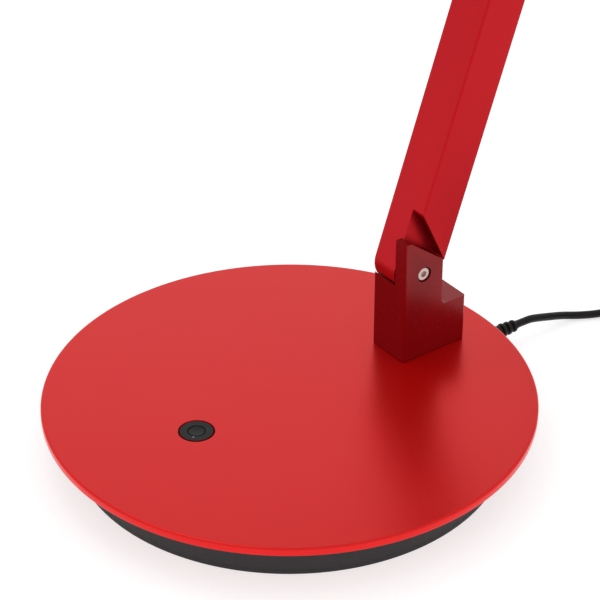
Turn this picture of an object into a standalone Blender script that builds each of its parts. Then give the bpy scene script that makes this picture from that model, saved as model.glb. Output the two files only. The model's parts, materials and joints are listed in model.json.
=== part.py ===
"""Architect desk lamp: weighted round base, hinge post, two square arms and a slim LED head.

Metres, +Z up.  The origin is the centre of the base's underside, on the table.
The button is at the front (-Y).  The hinge post and the cord are at the rear (+Y).
Every hinge turns about an axis along X, and the heads of the hinge screws face +X.
"""

import math

import bmesh
import bpy
from mathutils import Matrix, Vector

# ---------------------------------------------------------------- driving dimensions
GAP = 0.0003                    # between two pieces that touch

BASE_HEIGHT = 0.0238            # table to the top of the plate
PLATE_RADIUS = 0.110
PLATE_THICKNESS = 0.0036
PLATE_CHAMFER = 0.0010
PLATE_EDGE_BREAK = 0.0003       # at the plate's lower rim
HOUSING_RADIUS = 0.0968
HOUSING_WALL = 0.0020
HOUSING_FLOOR_Z = 0.0016        # underside of the housing, above the foot pad
HOUSING_EDGE_BREAK = 0.0006
WEIGHT_RADIUS = 0.0920
WEIGHT_BOTTOM_Z = 0.0040
WEIGHT_TOP_Z = 0.0150
CHANNEL_HALF_WIDTH = 0.0185     # slot in the weight for the electronics and the leads
CHANNEL_FRONT_Y = -0.0680       # it runs from here out through the weight's rear
FOOT_PAD_RADIUS = 0.0964

BUTTON_Y = -0.0495
BEZEL_RADIUS = 0.0077
BUTTON_HOLE_RADIUS = 0.0080
CAP_RADIUS = 0.0037
CAP_STEM_RADIUS = 0.0016
CAP_STEM_LENGTH = 0.0062
CAP_FLANGE_RADIUS = 0.0055
BEZEL_FLANGE_RADIUS = 0.0098
BEZEL_WELL_RADIUS = 0.0060      # the wider bore below, for the cap's flange
BUTTON_TRAVEL = 0.0010
LENS_ORBIT = 0.0046             # from the button's centre to the indicator
LENS_ANGLE = math.radians(-51.0)
LENS_RADIUS = 0.00045
LENS_HOLE_RADIUS = 0.00055

POST_SCREWS = {"front_screw": 0.0620, "rear_screw": 0.0835}     # their places along Y
POST_SCREW_RADIUS = 0.0022
POST_SCREW_HEAD_RADIUS = 0.0040
POST_SCREW_HEAD_HEIGHT = 0.0042
POST_SCREW_REACH = 0.0100       # into the post
LEAD_HOLE_Y = 0.0728
LEAD_HOLE_RADIUS = 0.0025
HOUSING_SCREW_RECESS = 0.0011
HOUSING_SCREW_HEAD_RADIUS = 0.0032
HOUSING_SCREW_SOCKET_RADIUS = 0.0011
HOUSING_SCREW_REACH = 0.0020    # into the plate
HOUSING_SCREWS = ((0.058, 0.044), (-0.058, 0.044), (-0.058, -0.044), (0.058, -0.044))
BOARD_POSTS = ((0.013, -0.060), (-0.013, -0.060), (-0.013, -0.014), (0.013, -0.014))
BOARD_Z = 0.0062
BOARD_THICKNESS = 0.0016
BOARD_HALF_WIDTH = 0.0155
BOARD_FRONT_Y = -0.0640
BOARD_REAR_Y = -0.0100
SWITCH_HALF_WIDTH = 0.0030

ARM_HALF_WIDTH = 0.0111         # along X
ARM_FRONT = 0.0114              # from the pivots to the arm's front face
ARM_REAR = 0.0097               # and to its rear face
ARM_HALF_DEPTH = (ARM_FRONT + ARM_REAR) / 2
ARM_WALL = 0.0016
ARM_EDGE_ROUND = 0.0008
ARM_PIVOT_SPAN = 0.380          # hinge to hinge
TONGUE_FACE_X = 0.0037          # the tongue's +X face
EAR_FACE_X = 0.0041             # the ear's inner face
CUT_FRONT = 0.0286              # where the slanted cut meets the arm's front face
CUT_REAR = 0.0069               # where it meets the rear face
SOLID_LENGTH = 0.0350           # of the arm above its pivot
ARM_END_DROP = 0.0240           # from the tube's far end to the next pivot
BRACKET_PLATE = 0.0038          # thickness of the plate that closes the tube

POST_HALF_WIDTH = 0.0111
POST_FRONT_Y = 0.0549
POST_REAR_Y = 0.0905
POST_CORNER_ROUND = 0.0010
EAR_REAR_Y = 0.0764
EAR_TOP = 0.0614                # heights above the plate
EAR_TOP_FLAT = 0.0030
EAR_REAR_TOP = 0.0475
SHOULDER_HEIGHT = 0.0235
LEDGE_HEIGHT = 0.0379
POCKET_RADIUS = 0.0119          # round hollow that the tongue's end turns in
PIVOT_Y = 0.0660
PIVOT_HEIGHT = 0.0430

LOWER_LEAN = math.radians(18.7)     # of the lower arm, rearwards from upright
UPPER_RISE = math.radians(5.0)      # of the upper arm, above level
HEAD_RISE = 0.0

SCREW_HEAD_RADIUS = 0.0032
SCREW_HEAD_HEIGHT = 0.0022
SCREW_RADIUS = 0.0019
SCREW_HOLE_RADIUS = 0.0022
BUSH_RADIUS = 0.0030
WASHER_RADIUS = 0.0062
SOCKET_RADIUS = 0.0016
CAP_POCKET_RADIUS = 0.0046

HEAD_HALF_WIDTH = 0.0180
HEAD_HALF_DEPTH = 0.0065
HEAD_START = 0.0145
HEAD_END = 0.2620
HEAD_WALL = 0.0016

CORD_DIAMETER = 0.0038
CORD_EXIT_Z = 0.0091
OUTLET_RADIUS = 0.0036          # hole in the housing's wall for the boot's neck
BOOT_TIP_Y = 0.1335
COIL_CENTRE = (0.0340, 0.2140)
COIL_INNER = 0.0157
COIL_OUTER = 0.0273
COIL_BOTTOM = 0.0013
COIL_TOP = 0.0167
TIE_THICKNESS = 0.0008
ADAPTOR_CENTRE = (0.0810, 0.1860)
ADAPTOR_SIZE = (0.0280, 0.0460, 0.0250)
ADAPTOR_LEAD_Z = 0.0075
PIN_RADIUS = 0.0020
PIN_LENGTH = 0.0190
PIN_OFFSET = 0.0093             # from the adaptor's middle
PIN_Z = 0.0130

# the cord's free stretch, from the boot on the housing to the side of the coil
CORD_ROUTE = (
    (0.0000, 0.1338, 0.0091),
    (0.0000, 0.1375, 0.0091),
    (0.0001, 0.1425, 0.0089),
    (0.0003, 0.1490, 0.0074),
    (0.0005, 0.1543, 0.0060),
    (0.0007, 0.1592, 0.0047),
    (0.0011, 0.1638, 0.0034),
    (0.0022, 0.1680, 0.0024),
    (0.0040, 0.1720, 0.0020),
    (0.0062, 0.1762, 0.00195),
    (0.0082, 0.1812, 0.00195),
    (0.0092, 0.1870, 0.00195),
    (0.0092, 0.1935, 0.00195),
    (0.0077, 0.2005, 0.0021),
    (0.0056, 0.2065, 0.0026),
    (0.0047, 0.2110, 0.0031),
    (0.0045, 0.2140, 0.0033),
)
# and its stretch from the coil to the plug-in adaptor
TAIL_ROUTE = (
    (0.0340, 0.2435, 0.0033),
    (0.0405, 0.2435, 0.0032),
    (0.0480, 0.2435, 0.0027),
    (0.0565, 0.2435, 0.0023),
    (0.0650, 0.2435, 0.0023),
    (0.0711, 0.2423, 0.0032),
    (0.0763, 0.2388, 0.0048),
    (0.0798, 0.2336, 0.0065),
    (0.0810, 0.2275, 0.0074),
    (0.0810, 0.2247, 0.0075),
    (0.0810, 0.2220, 0.0075),
)

# ---------------------------------------------------------------- materials
FINISHES = {
    "red_plate": ((0.56, 0.030, 0.028), 0.35, 0.42),
    "red_arm": ((0.50, 0.010, 0.022), 0.45, 0.38),
    "red_post": ((0.22, 0.002, 0.006), 0.55, 0.25),
    "black_plastic": ((0.030, 0.027, 0.026), 0.0, 0.55),
    "button_black": ((0.030, 0.033, 0.034), 0.0, 0.35),
    "rubber": ((0.020, 0.020, 0.020), 0.0, 0.85),
    "cord_black": ((0.020, 0.017, 0.016), 0.0, 0.50),
    "screw_steel": ((0.70, 0.68, 0.66), 1.0, 0.28),
    "brass": ((0.60, 0.42, 0.16), 1.0, 0.35),
    "washer_nylon": ((0.60, 0.58, 0.52), 0.0, 0.50),
    "cast_iron": ((0.09, 0.09, 0.095), 0.8, 0.65),
    "board_green": ((0.02, 0.12, 0.05), 0.0, 0.45),
    "board_aluminium": ((0.75, 0.75, 0.73), 0.6, 0.45),
    "opal": ((0.85, 0.85, 0.82), 0.0, 0.35),
    "indicator": ((0.65, 0.65, 0.68), 0.0, 0.25),
    "tie_black": ((0.025, 0.025, 0.028), 0.0, 0.70),
}


def finish(name):
    """The Principled material of that name, made on first use."""
    material = bpy.data.materials.get(name)
    if material is None:
        colour, metallic, roughness = FINISHES[name]
        material = bpy.data.materials.new(name)
        material.use_nodes = True
        shader = material.node_tree.nodes["Principled BSDF"]
        shader.inputs["Base Color"].default_value = (*colour, 1.0)
        shader.inputs["Metallic"].default_value = metallic
        shader.inputs["Roughness"].default_value = roughness
    return material


# ---------------------------------------------------------------- modelling helpers
def clear_scene():
    for obj in list(bpy.data.objects):
        bpy.data.objects.remove(obj, do_unlink=True)


def empty(name, location, rotation_x=0.0, parent=None):
    """An axis system that pieces hang on; a hinge turns about its X axis."""
    pivot = bpy.data.objects.new(name, None)
    bpy.context.scene.collection.objects.link(pivot)
    pivot.location = location
    pivot.rotation_euler = (rotation_x, 0.0, 0.0)
    pivot.parent = parent
    return pivot


def piece(name, mesh_maker, material, parent=None, location=(0.0, 0.0, 0.0)):
    """A named object around the mesh that mesh_maker fills in."""
    shape = bmesh.new()
    mesh_maker(shape)
    bmesh.ops.remove_doubles(shape, verts=shape.verts, dist=1e-6)
    bmesh.ops.recalc_face_normals(shape, faces=shape.faces)
    mesh = bpy.data.meshes.new(name)
    shape.to_mesh(mesh)
    shape.free()
    obj = bpy.data.objects.new(name, mesh)
    bpy.context.scene.collection.objects.link(obj)
    obj.parent = parent
    obj.location = location
    if material is not None:
        mesh.materials.append(finish(material))
    mesh.shade_smooth()
    mesh.set_sharp_from_angle(angle=math.radians(30.0))
    return obj


def bevel(obj, width, segments=2):
    modifier = obj.modifiers.new("edge_round", "BEVEL")
    modifier.width = width
    modifier.segments = segments
    modifier.limit_method = "ANGLE"
    modifier.angle_limit = math.radians(50.0)


def combine(obj, operation, name, mesh_maker, location=(0.0, 0.0, 0.0)):
    """Cut the made shape out of obj, or join it on, with a Boolean."""
    tool = piece(name, mesh_maker, None, obj.parent, location)
    tool.hide_render = True
    tool.hide_set(True)
    tool.display_type = "WIRE"
    modifier = obj.modifiers.new(name, "BOOLEAN")
    modifier.operation = operation
    modifier.object = tool
    modifier.solver = "EXACT"
    return tool


def arc(centre, radius, start_deg, end_deg, steps):
    """Points on a circle, both ends included."""
    points = []
    for step in range(steps + 1):
        angle = math.radians(start_deg + (end_deg - start_deg) * step / steps)
        points.append((centre[0] + radius * math.cos(angle), centre[1] + radius * math.sin(angle)))
    return points


def prism(outline, x_low, x_high):
    """A maker of the (y, z) outline pulled straight along X."""
    def make(shape):
        verts = [shape.verts.new((x_low, y, z)) for y, z in outline]
        face = shape.faces.new(verts)
        pulled = bmesh.ops.extrude_face_region(shape, geom=[face])
        moved = [item for item in pulled["geom"] if isinstance(item, bmesh.types.BMVert)]
        bmesh.ops.translate(shape, verts=moved, vec=(x_high - x_low, 0.0, 0.0))
    return make


def block(low, high):
    """A maker of a box between two corners."""
    def make(shape):
        size = Vector(high) - Vector(low)
        middle = (Vector(high) + Vector(low)) / 2
        placed = Matrix.Translation(middle) @ Matrix.Diagonal((*size, 1.0))
        bmesh.ops.create_cube(shape, size=1.0, matrix=placed)
    return make


def turned(profile, axis="Z", segments=32, is_ring=False):
    """A maker of a shape of revolution from (radius, height) points about an axis through 0."""
    turn = {
        "Z": Matrix.Identity(3),
        "X": Matrix.Rotation(math.radians(90.0), 3, "Y"),
        "Y": Matrix.Rotation(math.radians(-90.0), 3, "X"),
    }[axis]

    def make(shape):
        verts = [shape.verts.new(turn @ Vector((radius, 0.0, height))) for radius, height in profile]
        edges = [shape.edges.new(pair) for pair in zip(verts, verts[1:])]
        if is_ring:
            edges.append(shape.edges.new((verts[-1], verts[0])))
        bmesh.ops.spin(
            shape, geom=verts + edges, cent=(0.0, 0.0, 0.0), axis=turn @ Vector((0.0, 0.0, 1.0)),
            angle=math.radians(360.0), steps=segments,
        )
    return make


def rod(radius, low, high, axis="Z", segments=24):
    return turned([(0.0, low), (radius, low), (radius, high), (0.0, high)], axis, segments)


def tube_ring(inner, outer, low, high, axis="Z", segments=32):
    outline = [(inner, low), (outer, low), (outer, high), (inner, high)]
    return turned(outline, axis, segments, is_ring=True)


def smooth_route(points, spacing):
    """Even points on the Catmull-Rom curve through the route's own points."""
    knots = [Vector(point) for point in points]
    knots = [2 * knots[0] - knots[1]] + knots + [2 * knots[-1] - knots[-2]]
    fine = []
    for before, start, end, after in zip(knots, knots[1:], knots[2:], knots[3:]):
        for step in range(40):
            t = step / 40
            fine.append(0.5 * (
                2 * start + (end - before) * t
                + (2 * before - 5 * start + 4 * end - after) * t ** 2
                + (3 * start - before - 3 * end + after) * t ** 3
            ))
    fine.append(knots[-2])
    length = sum((b - a).length for a, b in zip(fine, fine[1:]))
    count = max(2, round(length / spacing))
    even = [fine[0]]
    walked = 0.0
    for a, b in zip(fine, fine[1:]):
        walked += (b - a).length
        if walked >= length * len(even) / count and len(even) < count:
            even.append(b)
    even.append(fine[-1])
    return even


def cord_tube(name, route):
    curve = bpy.data.curves.new(name, "CURVE")
    curve.dimensions = "3D"
    curve.bevel_depth = CORD_DIAMETER / 2
    curve.bevel_resolution = 2
    curve.use_fill_caps = True
    points = smooth_route(route, 2.0 * CORD_DIAMETER)
    spline = curve.splines.new("POLY")
    spline.points.add(len(points) - 1)
    for place, point in zip(spline.points, points):
        place.co = (*point, 1.0)
    obj = bpy.data.objects.new(name, curve)
    bpy.context.scene.collection.objects.link(obj)
    curve.materials.append(finish("cord_black"))
    return obj


# ---------------------------------------------------------------- base
def make_base_plate():
    bottom = BASE_HEIGHT - PLATE_THICKNESS
    plate = piece("base_plate", turned([
        (0.0, bottom),
        (PLATE_RADIUS - PLATE_EDGE_BREAK, bottom),
        (PLATE_RADIUS, bottom + PLATE_EDGE_BREAK),
        (PLATE_RADIUS, BASE_HEIGHT - PLATE_CHAMFER),
        (PLATE_RADIUS - PLATE_CHAMFER, BASE_HEIGHT),
        (0.0, BASE_HEIGHT),
    ], segments=120), "red_plate")
    low = bottom - 0.002
    high = BASE_HEIGHT + 0.002
    combine(plate, "DIFFERENCE", "cut_button_hole", rod(BUTTON_HOLE_RADIUS, low, high, segments=40),
            (0.0, BUTTON_Y, 0.0))
    for name, y in POST_SCREWS.items():
        combine(plate, "DIFFERENCE", "cut_plate_" + name,
                rod(POST_SCREW_RADIUS + 0.0005, low, high), (0.0, y, 0.0))
    combine(plate, "DIFFERENCE", "cut_plate_lead_hole", rod(LEAD_HOLE_RADIUS, low, high),
            (0.0, LEAD_HOLE_Y, 0.0))
    for index, (x, y) in enumerate(HOUSING_SCREWS, 1):
        blind = rod(SCREW_HOLE_RADIUS, low, bottom + HOUSING_SCREW_REACH + 0.0002)
        combine(plate, "DIFFERENCE", f"cut_tapped_hole_{index}", blind, (x, y, 0.0))


def make_base_housing():
    inner = HOUSING_RADIUS - HOUSING_WALL
    floor = HOUSING_FLOOR_Z
    top = BASE_HEIGHT - PLATE_THICKNESS - GAP
    housing = piece("base_housing", turned([
        (0.0, floor),
        (HOUSING_RADIUS - HOUSING_EDGE_BREAK, floor),
        (HOUSING_RADIUS, floor + HOUSING_EDGE_BREAK),
        (HOUSING_RADIUS, top),
        (inner, top),
        (inner, floor + HOUSING_WALL),
        (0.0, floor + HOUSING_WALL),
    ], segments=88), "black_plastic")
    for index, (x, y) in enumerate(HOUSING_SCREWS, 1):
        combine(housing, "DIFFERENCE", f"cut_floor_hole_{index}",
                rod(SCREW_RADIUS + 0.0005, floor - 0.002, floor + 0.006, segments=16), (x, y, 0.0))
        head_radius = HOUSING_SCREW_HEAD_RADIUS + 0.0004
        combine(housing, "DIFFERENCE", f"cut_floor_recess_{index}",
                rod(head_radius, floor - 0.002, floor + HOUSING_SCREW_RECESS, segments=16), (x, y, 0.0))
    for index, (x, y) in enumerate(BOARD_POSTS, 1):
        combine(housing, "UNION", f"join_board_post_{index}",
                rod(0.0021, floor + 0.0010, BOARD_Z - GAP, segments=16), (x, y, 0.0))
    combine(housing, "DIFFERENCE", "cut_lead_outlet",
            rod(OUTLET_RADIUS, inner - 0.010, HOUSING_RADIUS + 0.010, "Y"), (0.0, 0.0, CORD_EXIT_Z))


def make_base_weight():
    weight = piece("base_weight", rod(WEIGHT_RADIUS, WEIGHT_BOTTOM_Z, WEIGHT_TOP_Z, segments=56),
                   "cast_iron")
    combine(weight, "DIFFERENCE", "cut_channel", block(
        (-CHANNEL_HALF_WIDTH, CHANNEL_FRONT_Y, WEIGHT_BOTTOM_Z - 0.002),
        (CHANNEL_HALF_WIDTH, WEIGHT_RADIUS + 0.004, WEIGHT_TOP_Z + 0.002),
    ))
    for index, (x, y) in enumerate(HOUSING_SCREWS, 1):
        combine(weight, "DIFFERENCE", f"cut_weight_hole_{index}",
                rod(SCREW_RADIUS + 0.0009, WEIGHT_BOTTOM_Z - 0.002, WEIGHT_TOP_Z + 0.002), (x, y, 0.0))


def make_base_small_parts():
    piece("foot_pad", rod(FOOT_PAD_RADIUS, 0.0, HOUSING_FLOOR_Z - GAP, segments=88), "rubber")
    piece("control_board", block(
        (-BOARD_HALF_WIDTH, BOARD_FRONT_Y, BOARD_Z),
        (BOARD_HALF_WIDTH, BOARD_REAR_Y, BOARD_Z + BOARD_THICKNESS)), "board_green")
    under = BASE_HEIGHT - PLATE_THICKNESS - GAP
    tip = under + HOUSING_SCREW_REACH
    head = HOUSING_SCREW_HEAD_RADIUS
    socket = HOUSING_SCREW_SOCKET_RADIUS
    head_low = HOUSING_FLOOR_Z + 0.0001
    socket_floor = head_low + 0.0006
    head_high = HOUSING_FLOOR_Z + HOUSING_SCREW_RECESS - 0.0001
    for index, (x, y) in enumerate(HOUSING_SCREWS, 1):
        piece(f"housing_screw_{index}", turned([
            (0.0, socket_floor), (socket, socket_floor), (socket, head_low), (head, head_low),
            (head, head_high), (SCREW_RADIUS, head_high), (SCREW_RADIUS, tip), (0.0, tip),
        ], segments=16), "screw_steel", location=(x, y, 0.0))
    head_low = under - POST_SCREW_HEAD_HEIGHT
    socket_floor = head_low + 0.0020
    tip = BASE_HEIGHT + POST_SCREW_REACH
    for name, y in POST_SCREWS.items():
        piece("post_" + name, turned([
            (0.0, socket_floor), (SOCKET_RADIUS, socket_floor), (SOCKET_RADIUS, head_low),
            (POST_SCREW_HEAD_RADIUS, head_low), (POST_SCREW_HEAD_RADIUS, under),
            (POST_SCREW_RADIUS, under), (POST_SCREW_RADIUS, tip), (0.0, tip),
        ], segments=20), "screw_steel", location=(0.0, y, 0.0))


def make_button():
    top = BASE_HEIGHT
    under = BASE_HEIGHT - PLATE_THICKNESS
    bore = CAP_RADIUS + 0.00025
    chamfer = 0.0005
    flange_low = under - 0.0018
    bore_low = under + 0.0004
    bezel = piece("button_bezel", turned([
        (bore, top), (BEZEL_RADIUS - chamfer, top), (BEZEL_RADIUS, top - chamfer),
        (BEZEL_RADIUS, under - GAP), (BEZEL_FLANGE_RADIUS, under - GAP), (BEZEL_FLANGE_RADIUS, flange_low),
        (BEZEL_WELL_RADIUS, flange_low), (BEZEL_WELL_RADIUS, bore_low), (bore, bore_low),
    ], segments=32, is_ring=True), "button_black", location=(0.0, BUTTON_Y, 0.0))
    lens_place = (LENS_ORBIT * math.cos(LENS_ANGLE), BUTTON_Y + LENS_ORBIT * math.sin(LENS_ANGLE), 0.0)
    combine(bezel, "DIFFERENCE", "cut_lens_hole",
            rod(LENS_HOLE_RADIUS, under - 0.001, top + 0.001, segments=12), lens_place)
    piece("indicator_lens", rod(LENS_RADIUS, under + 0.0006, top - 0.00005, segments=12), "indicator",
          location=lens_place)
    flange_top = under + 0.0001
    flange_low = flange_top - 0.0010
    stem_end = flange_low - CAP_STEM_LENGTH
    pivot = empty("button_axis", (0.0, BUTTON_Y, top))
    piece("button_cap", turned([
        (0.0, stem_end), (CAP_STEM_RADIUS, stem_end), (CAP_STEM_RADIUS, flange_low),
        (CAP_FLANGE_RADIUS, flange_low), (CAP_FLANGE_RADIUS, flange_top),
        (CAP_RADIUS, flange_top), (CAP_RADIUS, top - 0.0004), (CAP_RADIUS - 0.0003, top - 0.0001),
        (0.0, top - 0.0001),
    ], segments=24), "button_black", pivot, (0.0, 0.0, -top))
    switch_top = stem_end - BUTTON_TRAVEL - GAP
    board_top = BOARD_Z + BOARD_THICKNESS + GAP
    switch = piece("tact_switch", block(
        (-SWITCH_HALF_WIDTH, BUTTON_Y - SWITCH_HALF_WIDTH, board_top),
        (SWITCH_HALF_WIDTH, BUTTON_Y + SWITCH_HALF_WIDTH, switch_top - 0.0010)), "black_plastic")
    combine(switch, "UNION", "join_plunger", rod(0.0014, board_top + 0.001, switch_top, segments=16),
            (0.0, BUTTON_Y, 0.0))


# ---------------------------------------------------------------- hinges
def make_post():
    top = BASE_HEIGHT + GAP
    fillet = 0.0030
    flat_end = POST_FRONT_Y + EAR_TOP_FLAT
    outline = [(POST_REAR_Y, top), (POST_REAR_Y, BASE_HEIGHT + SHOULDER_HEIGHT)]
    outline += arc((EAR_REAR_Y + fillet, BASE_HEIGHT + SHOULDER_HEIGHT + fillet), fillet, 270.0, 180.0, 6)
    outline += [
        (EAR_REAR_Y, BASE_HEIGHT + EAR_REAR_TOP),
        (flat_end, BASE_HEIGHT + EAR_TOP),
        (POST_FRONT_Y, BASE_HEIGHT + EAR_TOP),
        (POST_FRONT_Y, top),
    ]
    post = piece("hinge_post", prism(outline, -POST_HALF_WIDTH, POST_HALF_WIDTH), "red_post")
    round_post_corners(post)
    ledge = BASE_HEIGHT + LEDGE_HEIGHT
    ceiling = BASE_HEIGHT + EAR_TOP + 0.010
    beyond = 0.005
    pivot_z = BASE_HEIGHT + PIVOT_HEIGHT
    ledge_deg = 180.0 + math.degrees(math.asin((pivot_z - ledge) / POCKET_RADIUS))
    pocket = [(POST_FRONT_Y - beyond, ledge)]
    pocket += arc((PIVOT_Y, pivot_z), POCKET_RADIUS, ledge_deg, 360.0, 28)
    pocket += [(PIVOT_Y + POCKET_RADIUS, ceiling), (POST_FRONT_Y - beyond, ceiling)]
    combine(post, "DIFFERENCE", "cut_pocket", prism(pocket, -0.020, EAR_FACE_X))
    cut_ear_bores(post, "post", (0.0, PIVOT_Y, pivot_z), POST_HALF_WIDTH)
    for name, y in POST_SCREWS.items():
        combine(post, "DIFFERENCE", "cut_post_" + name,
                rod(POST_SCREW_RADIUS + 0.0003, 0.0, BASE_HEIGHT + POST_SCREW_REACH + 0.002, segments=20),
                (0.0, y, 0.0))
    combine(post, "DIFFERENCE", "cut_post_lead_hole", rod(LEAD_HOLE_RADIUS, 0.0, 0.060),
            (0.0, LEAD_HOLE_Y, 0.0))


def round_post_corners(post):
    """Round the upright corners well and break the other edges a little."""
    shape = bmesh.new()
    shape.from_mesh(post.data)
    upright = [
        edge for edge in shape.edges
        if abs(edge.verts[0].co.x - edge.verts[1].co.x) < 1e-6
        and abs(edge.verts[0].co.y - edge.verts[1].co.y) < 1e-6
        and (edge.verts[0].co.y < POST_FRONT_Y + 1e-6 or edge.verts[0].co.y > POST_REAR_Y - 1e-6)
    ]
    bmesh.ops.bevel(shape, geom=upright, offset=POST_CORNER_ROUND, segments=4, profile=0.5, affect="EDGES",
                    clamp_overlap=True)
    shape.to_mesh(post.data)
    shape.free()
    post.data.shade_smooth()
    post.data.set_sharp_from_angle(angle=math.radians(30.0))


def cut_ear_bores(ear, name, pivot, outer_x):
    """The bush bore, the recess for the screw's head and the one for the friction washer."""
    bores = {
        "bore": rod(BUSH_RADIUS + 0.0001, -0.001, 0.020, "X"),
        "head_recess": rod(SCREW_HEAD_RADIUS + 0.0005, outer_x - 0.0030, outer_x + 0.005, "X", 32),
        "washer_recess": rod(WASHER_RADIUS + 0.0003, -0.001, EAR_FACE_X + 0.0009, "X", 32),
    }
    for bore, maker in bores.items():
        combine(ear, "DIFFERENCE", f"cut_{name}_{bore}", maker, pivot)


def make_hinge_hardware(name, fixed, moving, outer_x):
    """Bush and washer on the ear's side; screw, nut and cover cap turn with the tongue."""
    recess_floor = outer_x - 0.0030
    head_low = recess_floor + 0.0001
    piece(f"{name}_bush", tube_ring(
        SCREW_RADIUS + 0.0002, BUSH_RADIUS, EAR_FACE_X + 0.0011, recess_floor - 0.0002, "X", 24),
        "brass", fixed)
    piece(f"{name}_washer", tube_ring(
        SCREW_RADIUS + 0.0002, WASHER_RADIUS, TONGUE_FACE_X + 0.0002, EAR_FACE_X + 0.0007, "X", 24),
        "washer_nylon", fixed)
    head_top = head_low + SCREW_HEAD_HEIGHT
    nut_outer = -ARM_HALF_WIDTH + 0.0020
    screw = piece(f"{name}_screw", turned([
        (0.0, nut_outer - 0.0001), (SCREW_RADIUS, nut_outer - 0.0001), (SCREW_RADIUS, head_low),
        (SCREW_HEAD_RADIUS, head_low), (SCREW_HEAD_RADIUS, head_top - 0.0003),
        (SCREW_HEAD_RADIUS - 0.0003, head_top), (0.0, head_top),
    ], "X", 32), "screw_steel", moving)
    combine(screw, "DIFFERENCE", f"cut_{name}_socket", turned([
        (0.0, head_top - 0.0014), (SOCKET_RADIUS, head_top - 0.0014),
        (SOCKET_RADIUS, head_top + 0.001), (0.0, head_top + 0.001),
    ], "X", 6))
    nut = piece(f"{name}_nut", rod(0.0040, nut_outer, nut_outer + 0.0030, "X", 6), "screw_steel", moving)
    combine(nut, "DIFFERENCE", f"cut_{name}_nut_bore",
            rod(SCREW_RADIUS + 0.0001, nut_outer - 0.001, 0.0, "X", 24))
    piece(f"{name}_cap", rod(CAP_POCKET_RADIUS - 0.0002, -ARM_HALF_WIDTH, -ARM_HALF_WIDTH + 0.0014, "X", 32),
          "red_arm", moving)


def cut_tongue_bores(tongue, name):
    """The screw hole and the nut's pocket, which the cover cap closes."""
    combine(tongue, "DIFFERENCE", f"cut_{name}_screw_hole", rod(SCREW_HOLE_RADIUS, -0.020, 0.020, "X"))
    combine(tongue, "DIFFERENCE", f"cut_{name}_nut_pocket",
            rod(CAP_POCKET_RADIUS, -0.020, -ARM_HALF_WIDTH + 0.0054, "X", 32))
    combine(tongue, "DIFFERENCE", f"cut_{name}_lead_hole",
            rod(0.0015, -0.020, SOLID_LENGTH + 0.002, "Z", 16), (-0.0010, 0.0066, 0.0))


# ---------------------------------------------------------------- arms
def arm_outline(length):
    """The arm from the side, its lower end round about the pivot."""
    rear_deg = 360.0 - math.degrees(math.acos(ARM_REAR / ARM_FRONT))
    return arc((0.0, 0.0), ARM_FRONT, 180.0, rear_deg, 20) + [(ARM_REAR, length), (-ARM_FRONT, length)]


def make_arm(name, pivot):
    """A square tube on its hinge: solid tongue at the pivot, and a slanted cut that clears the ear."""
    length = ARM_PIVOT_SPAN - ARM_END_DROP
    arm = piece(name, prism(arm_outline(length), -ARM_HALF_WIDTH, ARM_HALF_WIDTH), "red_arm", pivot)
    bevel(arm, ARM_EDGE_ROUND, 3)
    inner_x = ARM_HALF_WIDTH - ARM_WALL
    front = -ARM_FRONT + ARM_WALL
    rear = ARM_REAR - ARM_WALL
    combine(arm, "DIFFERENCE", f"cut_{name}_hollow", block(
        (-inner_x, front, SOLID_LENGTH), (inner_x, rear, length + 0.010)))
    combine(arm, "DIFFERENCE", f"cut_{name}_side", block(
        (TONGUE_FACE_X, front, 0.0), (inner_x, rear, SOLID_LENGTH + 0.002)))
    beyond = 0.005
    low = -ARM_FRONT - beyond
    slope = (CUT_FRONT - CUT_REAR) / (ARM_FRONT + ARM_REAR)
    combine(arm, "DIFFERENCE", f"cut_{name}_slant", prism([
        (-ARM_FRONT - beyond, low), (ARM_REAR + beyond, low),
        (ARM_REAR + beyond, CUT_REAR - slope * beyond),
        (-ARM_FRONT - beyond, CUT_FRONT + slope * beyond),
    ], TONGUE_FACE_X, ARM_HALF_WIDTH + 0.005))
    cut_tongue_bores(arm, name)
    return arm


def make_bracket(name, pivot):
    """Fits in a tube's far end: a plug, a closing plate and the ear for the next hinge."""
    plate_low = ARM_PIVOT_SPAN - ARM_END_DROP + GAP
    plate_high = plate_low + BRACKET_PLATE
    middle = (ARM_REAR - ARM_FRONT) / 2
    outline = [(ARM_REAR, plate_low)]
    outline += arc((middle, ARM_PIVOT_SPAN), ARM_HALF_DEPTH, 0.0, 180.0, 20)
    outline += [(-ARM_FRONT, plate_low)]
    bracket = piece(name, prism(outline, -ARM_HALF_WIDTH, ARM_HALF_WIDTH), "red_post", pivot)
    bevel(bracket, 0.0008, 2)
    combine(bracket, "DIFFERENCE", f"cut_{name}_gap", block(
        (-0.020, -0.020, plate_high), (EAR_FACE_X, 0.020, ARM_PIVOT_SPAN + 0.020)))
    plug_x = ARM_HALF_WIDTH - ARM_WALL - GAP
    plug_y = ARM_HALF_DEPTH - ARM_WALL - GAP
    combine(bracket, "UNION", f"join_{name}_plug", block(
        (-plug_x, middle - plug_y, plate_low - 0.024),
        (plug_x, middle + plug_y, plate_low + 0.0010)))
    combine(bracket, "DIFFERENCE", f"cut_{name}_lead_hole",
            rod(0.0030, plate_low - 0.030, plate_high + 0.005, "Z", 20), (-0.0035, 0.0, 0.0))
    cut_ear_bores(bracket, name, (0.0, 0.0, ARM_PIVOT_SPAN), ARM_HALF_WIDTH)
    return bracket


def make_arm_lead(name, pivot):
    """The flat two-core lead inside a tube, from the tongue's hole to the bracket's."""
    end = ARM_PIVOT_SPAN - ARM_END_DROP - 0.026
    piece(name, rod(0.0014, SOLID_LENGTH + 0.0010, end, "Z", 12), "cord_black", pivot, (-0.0020, 0.0030, 0.0))


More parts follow.
